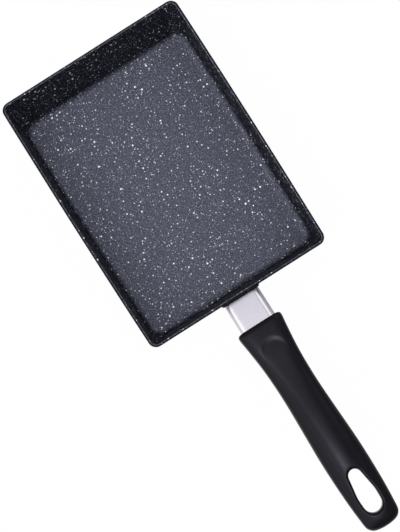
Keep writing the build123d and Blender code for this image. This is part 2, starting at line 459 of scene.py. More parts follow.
@dataclass(frozen=True)
class OuterLacquer(StoneCoating):
    """Matt silicone lacquer with the same kind of flecks, on the pan's rim and outside.

    The eye sees a neutral, duller black than inside. The base is milled flat after coating, so
    that it shows bare metal with the arcs of the cutter.

    Attributes:
        metal: Colour of the bare aluminium when it reflects white.
        metal_roughness: Roughness of the milled metal.
        milling_pitch: Distance between two arcs, in millimetres, drawn as coarse as it needs to
            show.
        milling_depth: Depth of the arcs, in millimetres.
        bare_height: Height up to which the metal is bare, in millimetres.
    """

    name: str = "Silicone lacquer with flecks, matt"
    ground: str = "#0a0a0b"
    dust: str = "#131315"
    film_sheen: float = 0.04
    film_roughness: float = 0.50
    sand_sheen: float = 0.08
    sand_roughness: float = 0.46
    sheen_tint: str = "#f6f6ff"
    flecks: tuple[Fleck, ...] = (
        Fleck(spacing=1.30, radius=0.30, smallest=0.40, dull="#242528", bright="#5c5d63"),
        Fleck(spacing=2.60, radius=0.44, smallest=0.30, dull="#4a4b50", bright="#b4b5ba"),
        Fleck(spacing=5.20, radius=0.56, smallest=0.40, dull="#8c8d92", bright="#e4e4e6"),
    )
    metal: str = "#c9cacd"
    metal_roughness: float = 0.32
    milling_pitch: float = 5.655
    milling_depth: float = 0.01
    bare_height: float = 0.03

    def milled(self, tree: NodeTree, place: NodeSocket) -> Node:
        """Makes the bare metal of the base.

        Args:
            tree: Node tree of the material.
            place: Socket with Object coordinates.

        Returns:
            Node with the shader.
        """
        arcs = add_node(
            tree,
            "ShaderNodeTexWave",
            {"wave_type": "RINGS", "rings_direction": "Z", "wave_profile": "SAW"},
            {"Vector": place, "Scale": math.tau / WAVE_RADIANS / (self.milling_pitch * MM)},
        ).outputs["Fac"]
        relief = add_node(
            tree,
            "ShaderNodeBump",
            inputs={"Strength": 1.0, "Distance": self.milling_depth * MM, "Height": arcs},
        )
        return add_node(
            tree,
            "ShaderNodeBsdfPrincipled",
            inputs={
                "Base Color": linear(self.metal),
                "Metallic": 1.0,
                "Roughness": self.metal_roughness,
                "Normal": relief,
            },
        )

    def surface(self, tree: NodeTree, place: NodeSocket) -> Node:
        """Makes the lacquer, with bare metal where the base was milled.

        Args:
            tree: Node tree of the material.
            place: Socket with Object coordinates.

        Returns:
            Node with the shader.
        """
        height = add_node(tree, "ShaderNodeSeparateXYZ", inputs={"Vector": place}).outputs["Z"]
        bare = add_node(
            tree,
            "ShaderNodeMath",
            {"operation": "LESS_THAN"},
            {0: height, 1: self.bare_height * MM},
        )
        lacquer = super().surface(tree, place)
        metal = self.milled(tree, place)
        return add_node(tree, "ShaderNodeMixShader", inputs={0: bare, 1: lacquer, 2: metal})


@dataclass(frozen=True)
class SatinSteel(Finish):
    """Stainless or zinc-plated steel with a fine grain along one direction.

    The eye sees a soft, nearly white metal whose highlights are drawn out across the grain.

    Attributes:
        colour: Colour of the metal when it reflects white.
        roughness: Middle roughness of the metal.
        roughness_spread: How far the roughness goes up and down from there.
        grain_width: Width of one scratch, in millimetres, drawn as coarse as it needs to show.
        grain_length: Length of one scratch, in millimetres.
        grain_depth: Depth of the scratches, in millimetres.
        turn: Angle from the X axis to the grain about the Z axis, in degrees.
    """

    colour: str
    roughness: float
    roughness_spread: float = 0.06
    grain_width: float = 0.22
    grain_length: float = 14.0
    grain_depth: float = 0.004
    turn: float = 0.0

    def surface(self, tree: NodeTree, place: NodeSocket) -> Node:
        """Makes the grained metal.

        Args:
            tree: Node tree of the material.
            place: Socket with Object coordinates.

        Returns:
            Node with the shader.
        """
        laid = add_node(
            tree,
            "ShaderNodeMapping",
            inputs={
                "Vector": place,
                "Rotation": (0.0, 0.0, math.radians(self.turn)),
                "Scale": (1 / (self.grain_length * MM),) + (1 / (self.grain_width * MM),) * 2,
            },
        )
        grain = add_node(
            tree, "ShaderNodeTexNoise", inputs={"Vector": laid, "Scale": 1.0, "Detail": 3.0}
        ).outputs["Fac"]
        rough = add_node(
            tree,
            "ShaderNodeMapRange",
            inputs={
                "Value": grain,
                "To Min": self.roughness - self.roughness_spread,
                "To Max": self.roughness + self.roughness_spread,
            },
        )
        relief = add_node(
            tree,
            "ShaderNodeBump",
            inputs={"Strength": 1.0, "Distance": self.grain_depth * MM, "Height": grain},
        )
        return add_node(
            tree,
            "ShaderNodeBsdfPrincipled",
            inputs={
                "Base Color": linear(self.colour),
                "Metallic": 1.0,
                "Roughness": rough,
                "Normal": relief,
            },
        )


@dataclass(frozen=True)
class MouldedPhenolic(Finish):
    """Phenolic resin, compression-moulded in a fine-blasted mould.

    The eye sees a deep, slightly cool black with a soft satin highlight, broken by a grain that
    is only just there.

    Attributes:
        colour: Colour of the resin.
        fibre: Colour of the resin where its filler shows.
        roughness: Middle roughness of the moulded skin.
        roughness_spread: How far the roughness goes up and down from there.
        sheen_level: Specular level of the skin.
        sheen_tint: Colour that the sheen takes.
        grain_size: Size of the mould's blasted grain, in millimetres.
        grain_depth: Depth of that grain, in millimetres.
        fibre_size: Size of the clouds that the filler makes, in millimetres.
    """

    name: str = "Phenolic, satin moulded"
    colour: str = "#09090b"
    fibre: str = "#0d0d10"
    roughness: float = 0.30
    roughness_spread: float = 0.05
    sheen_level: float = 0.135
    sheen_tint: str = "#f2f0ff"
    grain_size: float = 0.45
    grain_depth: float = 0.004
    fibre_size: float = 3.0

    def surface(self, tree: NodeTree, place: NodeSocket) -> Node:
        """Makes the moulded skin.

        Args:
            tree: Node tree of the material.
            place: Socket with Object coordinates.

        Returns:
            Node with the shader.
        """
        grain, filler = (
            add_node(
                tree,
                "ShaderNodeTexNoise",
                inputs={"Vector": place, "Scale": 1 / (size * MM), "Detail": detail},
            ).outputs["Fac"]
            for size, detail in ((self.grain_size, 2.0), (self.fibre_size, 4.0))
        )
        colour = add_node(
            tree,
            "ShaderNodeMix",
            {"data_type": "RGBA"},
            {"Factor": filler, "A": linear(self.colour), "B": linear(self.fibre)},
        )
        rough = add_node(
            tree,
            "ShaderNodeMapRange",
            inputs={
                "Value": filler,
                "To Min": self.roughness - self.roughness_spread,
                "To Max": self.roughness + self.roughness_spread,
            },
        )
        relief = add_node(
            tree,
            "ShaderNodeBump",
            inputs={"Strength": 1.0, "Distance": self.grain_depth * MM, "Height": grain},
        )
        return add_node(
            tree,
            "ShaderNodeBsdfPrincipled",
            inputs={
                "Base Color": colour,
                "Roughness": rough,
                "Specular IOR Level": self.sheen_level,
                "Specular Tint": linear(self.sheen_tint),
                "Normal": relief,
            },
        )


@dataclass(frozen=True)
class MattPaper(Finish):
    """Pale paper of the studio floor, without any gloss.

    The eye sees plain white round the pan, because the paper is lifted to white for the camera.
    What mirrors the floor sees a white glow on the -Y side of the pan, which is a painted
    reflection of light, and the bare paper on the other side.

    Attributes:
        colour: Colour of the bare paper.
        roughness: Roughness of the paper.
        white: Brightness of the white that it is lifted to.
        lift: Share of that white where the paper is fully lifted.
        painted_glow_side: Y between which the painted glow seen in reflections fades out towards
            +Y, in metres.
    """

    name: str = "Paper, matt white"
    colour: str = "#c4c4c6"
    roughness: float = 0.9
    white: float = 1.01
    lift: float = 0.97
    painted_glow_side: tuple[float, float] = (-0.015, 0.010)

    def surface(self, tree: NodeTree, place: NodeSocket) -> Node:
        """Makes the paper, lifted to white where it is seen, and glowing white as painted light
        where it is mirrored on the -Y side.

        Args:
            tree: Node tree of the material.
            place: Socket with Object coordinates.

        Returns:
            Node with the shader.
        """
        paper = add_node(
            tree,
            "ShaderNodeBsdfPrincipled",
            inputs={
                "Base Color": linear(self.colour),
                "Roughness": self.roughness,
                "Specular IOR Level": 0.0,
            },
        )
        glow = add_node(
            tree,
            "ShaderNodeEmission",
            inputs={"Color": (1.0, 1.0, 1.0, 1.0), "Strength": self.white},
        )
        # Painted light: the paper glows white in reflections only on the -Y side, so what faces
        # that side looks lit and what faces +Y looks shaded.
        across = add_node(tree, "ShaderNodeSeparateXYZ", inputs={"Vector": place}).outputs["Y"]
        painted_glow_share = add_node(
            tree,
            "ShaderNodeMapRange",
            {"interpolation_type": "SMOOTHSTEP"},
            {
                "Value": across,
                "From Min": self.painted_glow_side[0],
                "From Max": self.painted_glow_side[1],
                "To Min": 1.0,
                "To Max": 0.0,
            },
        )
        ray = add_node(tree, "ShaderNodeLightPath").outputs
        mirrored = add_node(
            tree,
            "ShaderNodeMath",
            {"operation": "ADD"},
            {0: ray["Is Glossy Ray"], 1: ray["Is Transmission Ray"]},
        )
        seen = add_node(
            tree,
            "ShaderNodeMath",
            {"operation": "MULTIPLY_ADD"},
            {0: mirrored, 1: painted_glow_share, 2: ray["Is Camera Ray"]},
        )
        lifted = add_node(
            tree, "ShaderNodeMath", {"operation": "MULTIPLY"}, {0: seen, 1: self.lift}
        )
        return add_node(tree, "ShaderNodeMixShader", inputs={0: lifted, 1: paper, 2: glow})


@dataclass(frozen=True)
class SoftBox:
    """Soft light from one part of the room.

    Attributes:
        toward: Direction of its middle from the pan.
        inner: Angle round that direction with full light, in degrees.
        outer: Angle beyond which its light has faded, in degrees.
        bright: Brightness of the middle, where 1 looks white.
    """

    toward: tuple[float, float, float]
    inner: float
    outer: float
    bright: float

    def light(self, tree: NodeTree, direction: NodeSocket) -> Node:
        """Works out how bright a ray finds the soft box.

        Args:
            tree: Node tree of the world.
            direction: Socket with the ray's direction.

        Returns:
            Node with that brightness.
        """
        closeness = add_node(
            tree,
            "ShaderNodeVectorMath",
            {"operation": "DOT_PRODUCT"},
            {0: direction, 1: Vector(self.toward).normalized()},
        )
        return add_node(
            tree,
            "ShaderNodeMapRange",
            {"interpolation_type": "SMOOTHSTEP"},
            {
                "Value": closeness,
                "From Min": math.cos(math.radians(self.outer)),
                "From Max": math.cos(math.radians(self.inner)),
                "To Max": self.bright,
            },
        )


@dataclass(frozen=True)
class Lamp:
    """Soft rectangular lamp.

    Attributes:
        name: Name of the lamp.
        place: Middle of its face, in metres.
        aim: Point that it faces, in metres.
        size: Width and height of its face, in metres.
        radiance: Brightness of its face, where 1 looks white.
        colour: Colour of its light.
    """

    name: str
    place: tuple[float, float, float]
    aim: tuple[float, float, float]
    size: tuple[float, float]
    radiance: float
    colour: str = "#f8f8ff"

    def hang(self) -> None:
        """Hangs the lamp in the scene."""
        width, height = self.size
        data = bpy.data.lights.new(self.name, "AREA")
        data.shape = "RECTANGLE"
        data.size, data.size_y = width, height
        data.energy = self.radiance * math.pi * width * height
        data.color = linear(self.colour)[:3]
        lamp = bpy.data.objects.new(self.name, data)
        lamp.location = self.place
        way = Vector(self.aim) - Vector(self.place)
        lamp.rotation_euler = way.to_track_quat("-Z", "Y").to_euler()
        bpy.context.scene.collection.objects.link(lamp)


@dataclass
class Studio:
    """Pale floor, soft lamps, surroundings and the camera above the pan.

    Attributes:
        floor_half_width: Half the width of the floor, in metres.
        paper: Finish of the floor.
        light_colour: Colour of the room's light.
        ambient: Brightness of the room between its soft boxes, where 1 looks white.
        boxes: Soft boxes round the pan.
        lamps: Lamps over the pan.
        photo_height: Height of the photograph, in pixels.
        focal_pixels: Focal length of its camera, in pixels.
        sensor: Longer side of the camera's sensor, in millimetres.
        camera_place: Place of the camera, in metres.
        image_right: Direction in the scene that points right in the photograph.
    """

    floor_half_width: float = 6.0
    paper: MattPaper = MattPaper()
    light_colour: str = "#fafaff"
    ambient: float = 0.445
    boxes: tuple[SoftBox, ...] = (
        SoftBox(toward=(0.0, -0.02, 1.0), inner=5.0, outer=35.0, bright=0.27),
        SoftBox(toward=(0.05, -0.75, 0.6), inner=10.0, outer=40.0, bright=1.33),
        SoftBox(toward=(0.0, -1.0, 0.20), inner=6.0, outer=32.0, bright=0.31),
        SoftBox(toward=(-0.48, 0.66, 0.58), inner=12.0, outer=28.0, bright=1.30),
        SoftBox(toward=(-0.9, -0.2, 0.3), inner=26.0, outer=154.0, bright=0.21),
    )
    lamps: tuple[Lamp, ...] = (
        Lamp("overhead", (0.105, -0.20, 1.60), (0.06, 0.0, 0.0), (0.32, 0.28), radiance=23.5),
        Lamp("side", (0.09, -0.85, 1.60), (0.05, 0.0, 0.0), (0.60, 0.60), radiance=2.0),
    )
    photo_height: int = 532
    focal_pixels: float = 1442.5
    sensor: float = 36.0
    camera_place: tuple[float, float, float] = (0.0610, -0.0115, 0.932)
    image_right: tuple[float, float, float] = (0.5358, 0.8443, 0.0)

    def floor(self) -> None:
        """Lays a plain matt floor under the pan."""
        mesh = bpy.data.meshes.new("studio_floor")
        shape = bmesh.new()
        bmesh.ops.create_grid(shape, x_segments=1, y_segments=1, size=self.floor_half_width)
        shape.to_mesh(mesh)
        shape.free()
        mesh.materials.append(self.paper.make())
        floor = bpy.data.objects.new("studio_floor", mesh)
        bpy.context.scene.collection.objects.link(floor)

    def surroundings(self) -> None:
        """Sets a dim room with soft boxes round the pan. The camera sees it as white."""
        world = bpy.data.worlds.new("studio_room")
        world.use_nodes = True
        tree = world.node_tree
        tree.nodes.clear()
        direction = add_node(tree, "ShaderNodeTexCoord").outputs["Generated"]
        light: Node | float = self.ambient
        for box in self.boxes:
            light = add_node(
                tree,
                "ShaderNodeMath",
                {"operation": "ADD"},
                {0: light, 1: box.light(tree, direction)},
            )
        seen = add_node(tree, "ShaderNodeLightPath").outputs["Is Camera Ray"]
        strength = add_node(
            tree, "ShaderNodeMix", {"data_type": "FLOAT"}, {"Factor": seen, "A": light, "B": 1.0}
        )
        colour = add_node(
            tree,
            "ShaderNodeMix",
            {"data_type": "RGBA"},
            {"Factor": seen, "A": linear(self.light_colour), "B": (1.0, 1.0, 1.0, 1.0)},
        )
        glow = add_node(
            tree, "ShaderNodeBackground", inputs={"Color": colour, "Strength": strength}
        )
        add_node(tree, "ShaderNodeOutputWorld", inputs={"Surface": glow})
        bpy.context.scene.world = world

    def camera(self) -> None:
        """Sets the camera straight above the pan, turned so that the handle points down right."""
        data = bpy.data.cameras.new("photo_camera")
        data.sensor_fit = "AUTO"
        data.sensor_width = self.sensor
        data.lens = self.focal_pixels * self.sensor / self.photo_height
        camera = bpy.data.objects.new("photo_camera", data)
        right = Vector(self.image_right).normalized()
        back = Vector((0.0, 0.0, 1.0))
        up = back.cross(right)
        turn = Matrix((right, up, back)).transposed()
        camera.matrix_world = Matrix.Translation(self.camera_place) @ turn.to_4x4()
        bpy.context.scene.collection.objects.link(camera)
        bpy.context.scene.camera = camera

    def build(self) -> None:
        """Sets up the floor, the room, the lamps and the camera."""
        self.floor()
        self.surroundings()
        for lamp in self.lamps:
            lamp.hang()
        self.camera()
        bpy.context.scene.view_settings.view_transform = "Standard"
        LOG.info("studio is set")


@dataclass
class Pan:
    """The coated pan body with its pressed base plate.

    Attributes:
        inside: Finish of the cooking surface, up to the inner edge of the rim.
        outside: Finish of the rim, the outer walls, the boss and the base.
        plate: Finish of the base plate.
        well_end: X where the well ends and the boss's side begins, in millimetres.
        well_floor: Height below which nothing belongs to the well, in millimetres.
        floor_limit: Height above which a level face is on the rim or the boss, in millimetres.
        level: Upward part of the normal above which a face is level.
        overhang: Upward part of the normal below which a face looks down.
    """

    inside: StoneCoating = StoneCoating()
    outside: OuterLacquer = OuterLacquer()
    plate: SatinSteel = SatinSteel(
        name="Stainless steel, ground", colour="#c6c5c8", roughness=0.30, turn=90.0
    )
    well_end: float = 89.0
    well_floor: float = 2.0
    floor_limit: float = 8.9
    level: float = 0.999
    overhang: float = -0.01

    def in_well(self, face: MeshPolygon) -> bool:
        """Tells whether a face of the pan body looks into the well.

        Args:
            face: The face.

        Returns:
            True for the well's floor, its fillets and its walls.
        """
        middle, facing = face.center, face.normal
        if middle.x > self.well_end * MM or middle.z < self.well_floor * MM:
            return False
        if facing.z > self.level:
            return middle.z < self.floor_limit * MM
        leaning_in = facing.x * middle.x + facing.y * middle.y < 0
        return leaning_in and facing.z >= self.overhang

    def build(self) -> None:
        """Dresses the CAD nodes of the pan."""
        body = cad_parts["pan_body"]
        outside, inside = self.outside.make(), self.inside.make()
        body.data.materials.clear()
        body.data.materials.append(outside)
        body.data.materials.append(inside)
        for face in body.data.polygons:
            face.material_index = int(self.in_well(face))
        LOG.info("pan_body wears %s and %s", outside.name, inside.name)
        dress("induction_plate", self.plate.make())


@dataclass
class Mount:
    """The flame guard and the screw set that hold the handle.

    Attributes:
        guard: Finish of the flame guard.
        zinc: Finish of the insert, the screw and its washers.
        fasteners: Names of those CAD nodes.
    """

    guard: SatinSteel = SatinSteel(
        name="Stainless steel, satin drawn", colour="#cecbd1", roughness=0.28
    )
    zinc: SatinSteel = SatinSteel(
        name="Steel, zinc plated", colour="#b9bcc0", roughness=0.28, grain_length=0.6
    )
    fasteners: tuple[str, ...] = (
        "threaded_insert",
        "handle_screw",
        "flat_washer",
        "spring_washer",
    )

    def build(self) -> None:
        """Dresses the CAD nodes of the mount."""
        dress("flame_guard", self.guard.make())
        zinc = self.zinc.make()
        for node in self.fasteners:
            dress(node, zinc)


@dataclass(frozen=True)
class Station:
    """One cross-section of the handle.

    Attributes:
        reach: Distance from the handle's front along its centre line, in millimetres.
        width: Width there, in millimetres.
        height: Height there, in millimetres.
        power: How square the section is: 2 is an ellipse, and higher is squarer.
    """

    reach: float
    width: float
    height: float
    power: float


@dataclass(frozen=True)
class Rows:
    """Rows of faces of equal length along the handle.

    Attributes:
        start: Reach where the first one starts, in millimetres.
        pitch: Length of each one, in millimetres.
        count: Number of rows.
    """

    start: float
    pitch: float
    count: int

    def reaches(self) -> list[float]:
        """Lists where the rows start."""
        return [self.start + self.pitch * row for row in range(self.count)]


@dataclass(frozen=True)
class CentreLine:
    """The shallow arc that the handle follows: it rises from the pan and flattens.

    Attributes:
        start: Middle of the handle's front face, in millimetres.
        rise: Angle at which the arc leaves that face, in degrees.
        radius: Radius of the arc, in millimetres.
    """

    start: tuple[float, float, float] = (112.407, 0.0, 20.834)
    rise: float = 11.0
    radius: float = 2798.0

    def bend(self, point: Vector) -> Vector:
        """Takes a point of the straight handle to its place on the arc.

        Args:
            point: Reach, offset to +Y and height above the centre line, in millimetres.

        Returns:
            The place in the frame of the pan, in metres.
        """
        first = math.radians(self.rise)
        angle = first - point.x / self.radius
        arc = Vector((math.sin(first) - math.sin(angle), 0.0, math.cos(angle) - math.cos(first)))
        up = Vector((-math.sin(angle), 0.0, math.cos(angle)))
        across = Vector((0.0, point.y, 0.0))
        return (Vector(self.start) + arc * self.radius + up * point.z + across) * MM


@dataclass(frozen=True)
class HangingSlot:
    """Egg-shaped hole near the handle's tail, narrower towards the pan. Lengths in millimetres.

    Attributes:
        reach: Where the slot's nose is, from the handle's front.
        length: Length of the slot.
        nose_radius: Radius of its end towards the pan.
        belly_radius: Radius of its widest part.
        heel_radius: Radius of its end towards the tail.
        belly_share: Share of its length at which it is widest.
        rim_radius: Radius of its rounded rims.
        rim_segments: Number of faces across a rounded rim.
        rows: Number of rows of the handle's faces that it takes up.
        row_margin: How far these rows stop short of its ends.
        columns_each_side: Number of columns of faces that it takes up on each side.
        eased_margin: Number of rows and columns round it that are evened out.
        easings: Number of times that they are evened out.
    """

    reach: float = 106.8
    length: float = 29.7
    nose_radius: float = 4.2
    belly_radius: float = 6.2
    heel_radius: float = 6.0
    belly_share: float = 0.58
    rim_radius: float = 1.9
    rim_segments: int = 3
    rows: int = 8
    row_margin: float = 0.6
    columns_each_side: int = 3
    eased_margin: int = 2
    easings: int = 12

    def outline(self, count: int) -> list[Vector]:
        """Spaces points along the slot's outline from above, from its nose towards +Y.

        Args:
            count: Number of points.

        Returns:
            The points, with X as the reach and Y across the handle.
        """
        circles = (
            (self.reach + self.nose_radius, self.nose_radius),
            (self.reach + self.length * self.belly_share, self.belly_radius),
            (self.reach + self.length - self.heel_radius, self.heel_radius),
        )
        dense = []
        for step in range(OUTLINE_STEPS + 1):
            turn = math.pi - math.tau * step / OUTLINE_STEPS
            way = Vector((math.cos(turn), math.sin(turn)))
            middle, radius = max(circles, key=lambda circle: circle[0] * way.x + circle[1])
            dense.append(Vector((middle, 0.0)) + way * radius)
        return countered(spaced(dense, count))

    def reaches(self) -> list[float]:
        """Lists the cross-sections that bound the slot's rows."""
        start, end = self.reach + self.row_margin, self.reach + self.length - self.row_margin
        return [start + (end - start) * row / self.rows for row in range(self.rows + 1)]


@dataclass(frozen=True)
class ThumbRest:
    """Shallow scoop in the handle's top, just behind its collar. Lengths in millimetres.

    Attributes:
        reach: Where the scoop's round nose starts, from the handle's front.
        nose_length: Length of the nose, which widens to the full half_width.
        half_width: Half the width of the scoop behind its nose.
        depth: How far the scoop lies below the handle's top.
        wall: Width of the soft slope round the scoop.
        fade: Reaches between which the scoop rises back to the top.
        least_aside: Least distance from the middle that a point counts as having.
    """

    reach: float = 10.5
    nose_length: float = 10.0
    half_width: float = 9.6
    depth: float = 0.36
    wall: float = 3.4
    fade: tuple[float, float] = (10.0, 27.0)
    least_aside: float = 0.1

    @staticmethod
    def eased(share: float) -> float:
        """Eases a share in and out, between 0 and 1."""
        share = min(max(share, 0.0), 1.0)
        return share * share * (3 - 2 * share)

    def press(self, place: Vector) -> Vector:
        """Lowers a point of the straight handle's top by the scoop's depth there.

        Args:
            place: Point of the straight handle.

        Returns:
            The point, lowered where it lies in the scoop.
        """
        if place.z <= 0:
            return place
        ahead = min(place.x - self.reach - self.nose_length, 0.0)
        aside = max(abs(place.y), self.least_aside)
        stretch = math.hypot(ahead / self.nose_length, aside / self.half_width)
        inside = math.hypot(ahead, aside) * (1 / stretch - 1)
        start, end = self.fade
        left = 1 - self.eased((place.x - start) / (end - start))
        return place - Vector((0.0, 0.0, self.depth * left * self.eased(inside / self.wall)))


@dataclass(frozen=True)
class Bore:
    """Level round hole along the screw's axis. Lengths in millimetres.

    Attributes:
        name: Name of the hole.
        radius: Radius of the hole.
        start: X of its end towards the pan.
        end: X of its other end.
    """

    name: str
    radius: float
    start: float
    end: float


@dataclass
class Handle:
    """The moulded handle, in place of the CAD handle. Lengths in millimetres.

    It is drawn straight, with its reach along X and its top towards +Z. Then it is pressed with
    its thumb rest, bent on to its centre line and cut for the flame guard and for the screw.

    Attributes:
        resin: Finish of the handle.
        centre_line: The arc that it follows.
        slot: Its hanging slot.
        thumb_rest: Its thumb rest.
        stations: Its cross-sections from front to tail, with smooth curves between them.
        columns: Number of faces round it before smoothing.
        front_radius: Radius of the edge round its front face.
        front_shares: Shares of that radius at which the front's cross-sections lie.
        front_lips: Widths of the rings of faces inside the front face's edge.
        collar_rows: Rows of faces from the collar to behind the thumb rest.
        grip_rows: Rows of faces from there to the slot.
        tail_row: Reach of the cross-section between the slot and the tail.
        tail_radius: Radius of the edge round its tail.
        tail_turns: Angles round that edge at which the tail's cross-sections lie, in degrees.
        tail_lips: Widths of the rings of faces inside the tail's edge.
        tail_bow_radius: Radius of the tail's end, seen from above.
        tail_bow_start: Reach from which the cross-sections bow towards that end.
        smoothing: Number of times that the surface is divided.
        sharp_angle: Angle between two faces from which their edge is sharp, in degrees.
        seat_size: Width and height of the flame guard's seat in the front.
        seat_corner: Radius of the seat's corners.
        seat_corner_segments: Number of faces round each of these corners.
        seat_depth: Depth of the seat.
        screw_height: Height of the screw's axis.
        bores: The screw's hole, and the wider one behind its washers that the driver goes in by.
        bore_segments: Number of faces round a bore.
    """

    resin: MouldedPhenolic = MouldedPhenolic()
    centre_line: CentreLine = CentreLine()
    slot: HangingSlot = HangingSlot()
    thumb_rest: ThumbRest = ThumbRest()
    stations: tuple[Station, ...] = (
        Station(0.0, 32.1, 21.6, 6.0),
        Station(12.5, 28.9, 20.3, 5.4),
        Station(28.0, 26.0, 18.3, 4.2),
        Station(48.5, 24.9, 17.5, 3.0),
        Station(73.5, 26.3, 18.1, 2.55),
        Station(95.5, 27.6, 18.4, 2.35),
        Station(121.5, 26.6, 16.3, 2.4),
        Station(146.8, 23.1, 12.5, 2.7),
    )
    columns: int = 32
    front_radius: float = 2.3
    front_shares: tuple[float, ...] = (0.0, 0.12, 0.45, 1.0)
    front_lips: tuple[float, ...] = (0.4, 2.0)
    collar_rows: Rows = Rows(start=4.5, pitch=2.5, count=16)
    grip_rows: Rows = Rows(start=47.5, pitch=5.6, count=11)
    tail_row: float = 139.8
    tail_radius: float = 4.5
    tail_turns: tuple[float, ...] = (0.0, 25.0, 50.0, 70.0, 90.0)
    tail_lips: tuple[float, ...] = (0.5, 0.5)
    tail_bow_radius: float = 34.0
    tail_bow_start: float = 132.0
    smoothing: int = 2
    sharp_angle: float = 30.0
    seat_size: tuple[float, float] = (25.1, 14.8)
    seat_corner: float = 4.65
    seat_corner_segments: int = 8
    seat_depth: float = 3.5
    screw_height: float = 18.84
    bores: tuple[Bore, ...] = (
        Bore("screw_hole", radius=2.75, start=99.4, end=126.0),
        Bore("driver_bore", radius=5.0, start=123.9, end=190.0),
    )
    bore_segments: int = 64

    @property
    def length(self) -> float:
        """Length of the handle along its centre line."""
        return self.stations[-1].reach

    def slope(self, index: int, name: str) -> float:
        """Finds how fast a measure of the cross-section changes at a station.

        Args:
            index: Place of the station in the row of stations.
            name: Name of the measure.

        Returns:
            The measure's change over one millimetre of reach.
        """
        before = self.stations[max(index - 1, 0)]
        after = self.stations[min(index + 1, len(self.stations) - 1)]
        return (getattr(after, name) - getattr(before, name)) / (after.reach - before.reach)

    def size_at(self, reach: float) -> tuple[float, float, float]:
        """Finds the size and form of one cross-section.

        Args:
            reach: Distance from the front.

        Returns:
            Half the width, half the height and the power, on smooth curves through the stations.
        """
        index = 0
        while index < len(self.stations) - 2 and reach > self.stations[index + 1].reach:
            index += 1
        near, far = self.stations[index : index + 2]
        run = far.reach - near.reach
        share = (reach - near.reach) / run
        values = []
        for name in ("width", "height", "power"):
            start, end = getattr(near, name), getattr(far, name)
            value = start * (1 + 2 * share) * (1 - share) ** 2 + end * (3 - 2 * share) * share**2
            value += run * self.slope(index, name) * share * (1 - share) ** 2
            value -= run * self.slope(index + 1, name) * (1 - share) * share**2
            values.append(value)
        width, height, power = values
        return width / 2, height / 2, power

    def crown(self, reach: float, across: float) -> float:
        """Finds the height of the handle's top above the centre line.

        Args:
            reach: Distance from the front.
            across: Distance from the middle, to either side.

        Returns:
            The height there.
        """
        half_width, half_height, power = self.size_at(reach)
        share = min(abs(across) / half_width, 1.0)
        return half_height * (1 - share**power) ** (1 / power)

    @staticmethod
    def edge_inset(radius: float, depth: float) -> float:
        """Finds how far the rounded edge of an end draws the cross-section in.

        Args:
            radius: Radius of the edge.
            depth: Distance of the cross-section from the end.

        Returns:
            What half the width and half the height are less by.
        """
        if depth >= radius:
            return 0.0
        return radius - math.sqrt(radius**2 - (radius - depth) ** 2)

    def ring(self, reach: float) -> list[Vector]:
        """Places the points of one cross-section.

        Args:
            reach: Distance from the front.

        Returns:
            The points, from the middle of the top towards +Y.
        """
        half_width, half_height, power = self.size_at(reach)
        inset = self.edge_inset(self.front_radius, reach)
        inset += self.edge_inset(self.tail_radius, self.length - reach)
        dense = []
        for step in range(OUTLINE_STEPS + 1):
            turn = math.tau * step / OUTLINE_STEPS
            across, up = (
                math.copysign(abs(part) ** (2 / power), part)
                for part in (math.sin(turn), math.cos(turn))
            )
            dense.append(Vector((across * (half_width - inset), up * (half_height - inset))))
        bowed = max(reach - self.tail_bow_start, 0.0) / (self.length - self.tail_bow_start)
        return [
            Vector((reach - bowed * across**2 / (2 * self.tail_bow_radius), across, up))
            for across, up in countered(spaced(dense, self.columns))
        ]

    def reaches(self) -> list[float]:
        """Lists the cross-sections from front to tail, closer together where the form turns.

        Returns:
            Their distances from the front.
        """
        front = [self.front_radius * share for share in self.front_shares]
        rises = [math.sin(math.radians(turn)) for turn in self.tail_turns]
        tail = [self.length - self.tail_radius * (1 - rise) for rise in rises]
        grip = self.collar_rows.reaches() + self.grip_rows.reaches()
        return front + grip + self.slot.reaches() + [self.tail_row] + tail

    def loft(self) -> tuple[BMesh, list[Ring]]:
        """Draws the straight handle as rings of points joined by faces, closed at both ends.

        Returns:
            The shape, and its rings from front to tail.
        """
        shape = bmesh.new()
        bmesh.ops.create_circle(shape, cap_ends=False, radius=1.0, segments=self.columns)
        points, edges = list(shape.verts), list(shape.edges)
        front_edges = edges
        rings: list[Ring] = []
        for reach in self.reaches():
            if rings:
                grown = bmesh.ops.extrude_edge_only(shape, edges=edges)["geom"]
                fresh = {part for part in grown if isinstance(part, BMVert)}
                lines = [part for part in grown if isinstance(part, BMEdge)]
                edges = [line for line in lines if fresh.issuperset(line.verts)]
                linked = [{line.other_vert(old) for line in old.link_edges} for old in points]
                points = [(others & fresh).pop() for others in linked]
            for point, place in zip(points, self.ring(reach)):
                point.co = place
            rings.append(points)
        for loop, lips in ((front_edges, self.front_lips), (edges, self.tail_lips)):
            cap = bmesh.ops.edgeloop_fill(shape, edges=loop)["faces"]
            for lip in lips:
                bmesh.ops.inset_region(shape, faces=cap, thickness=lip, use_even_offset=True)
        bmesh.ops.recalc_face_normals(shape, faces=shape.faces)
        return shape, rings

    def slot_spots(self, first: int) -> list[tuple[int, int]]:
        """Lists the slot's outline on the handle's rows and columns, from its nose towards +Y.

        Args:
            first: Row where the slot starts.

        Returns:
            The row and the column of each of its points.
        """
        last = first + self.slot.rows
        side = self.slot.columns_each_side
        spots = [(first, column) for column in range(side)]
        spots += [(row, side) for row in range(first, last)]
        spots += [(last, column) for column in range(side, -side, -1)]
        spots += [(row, -side) for row in range(last, first, -1)]
        spots += [(first, column) for column in range(-side, 0)]
        return spots

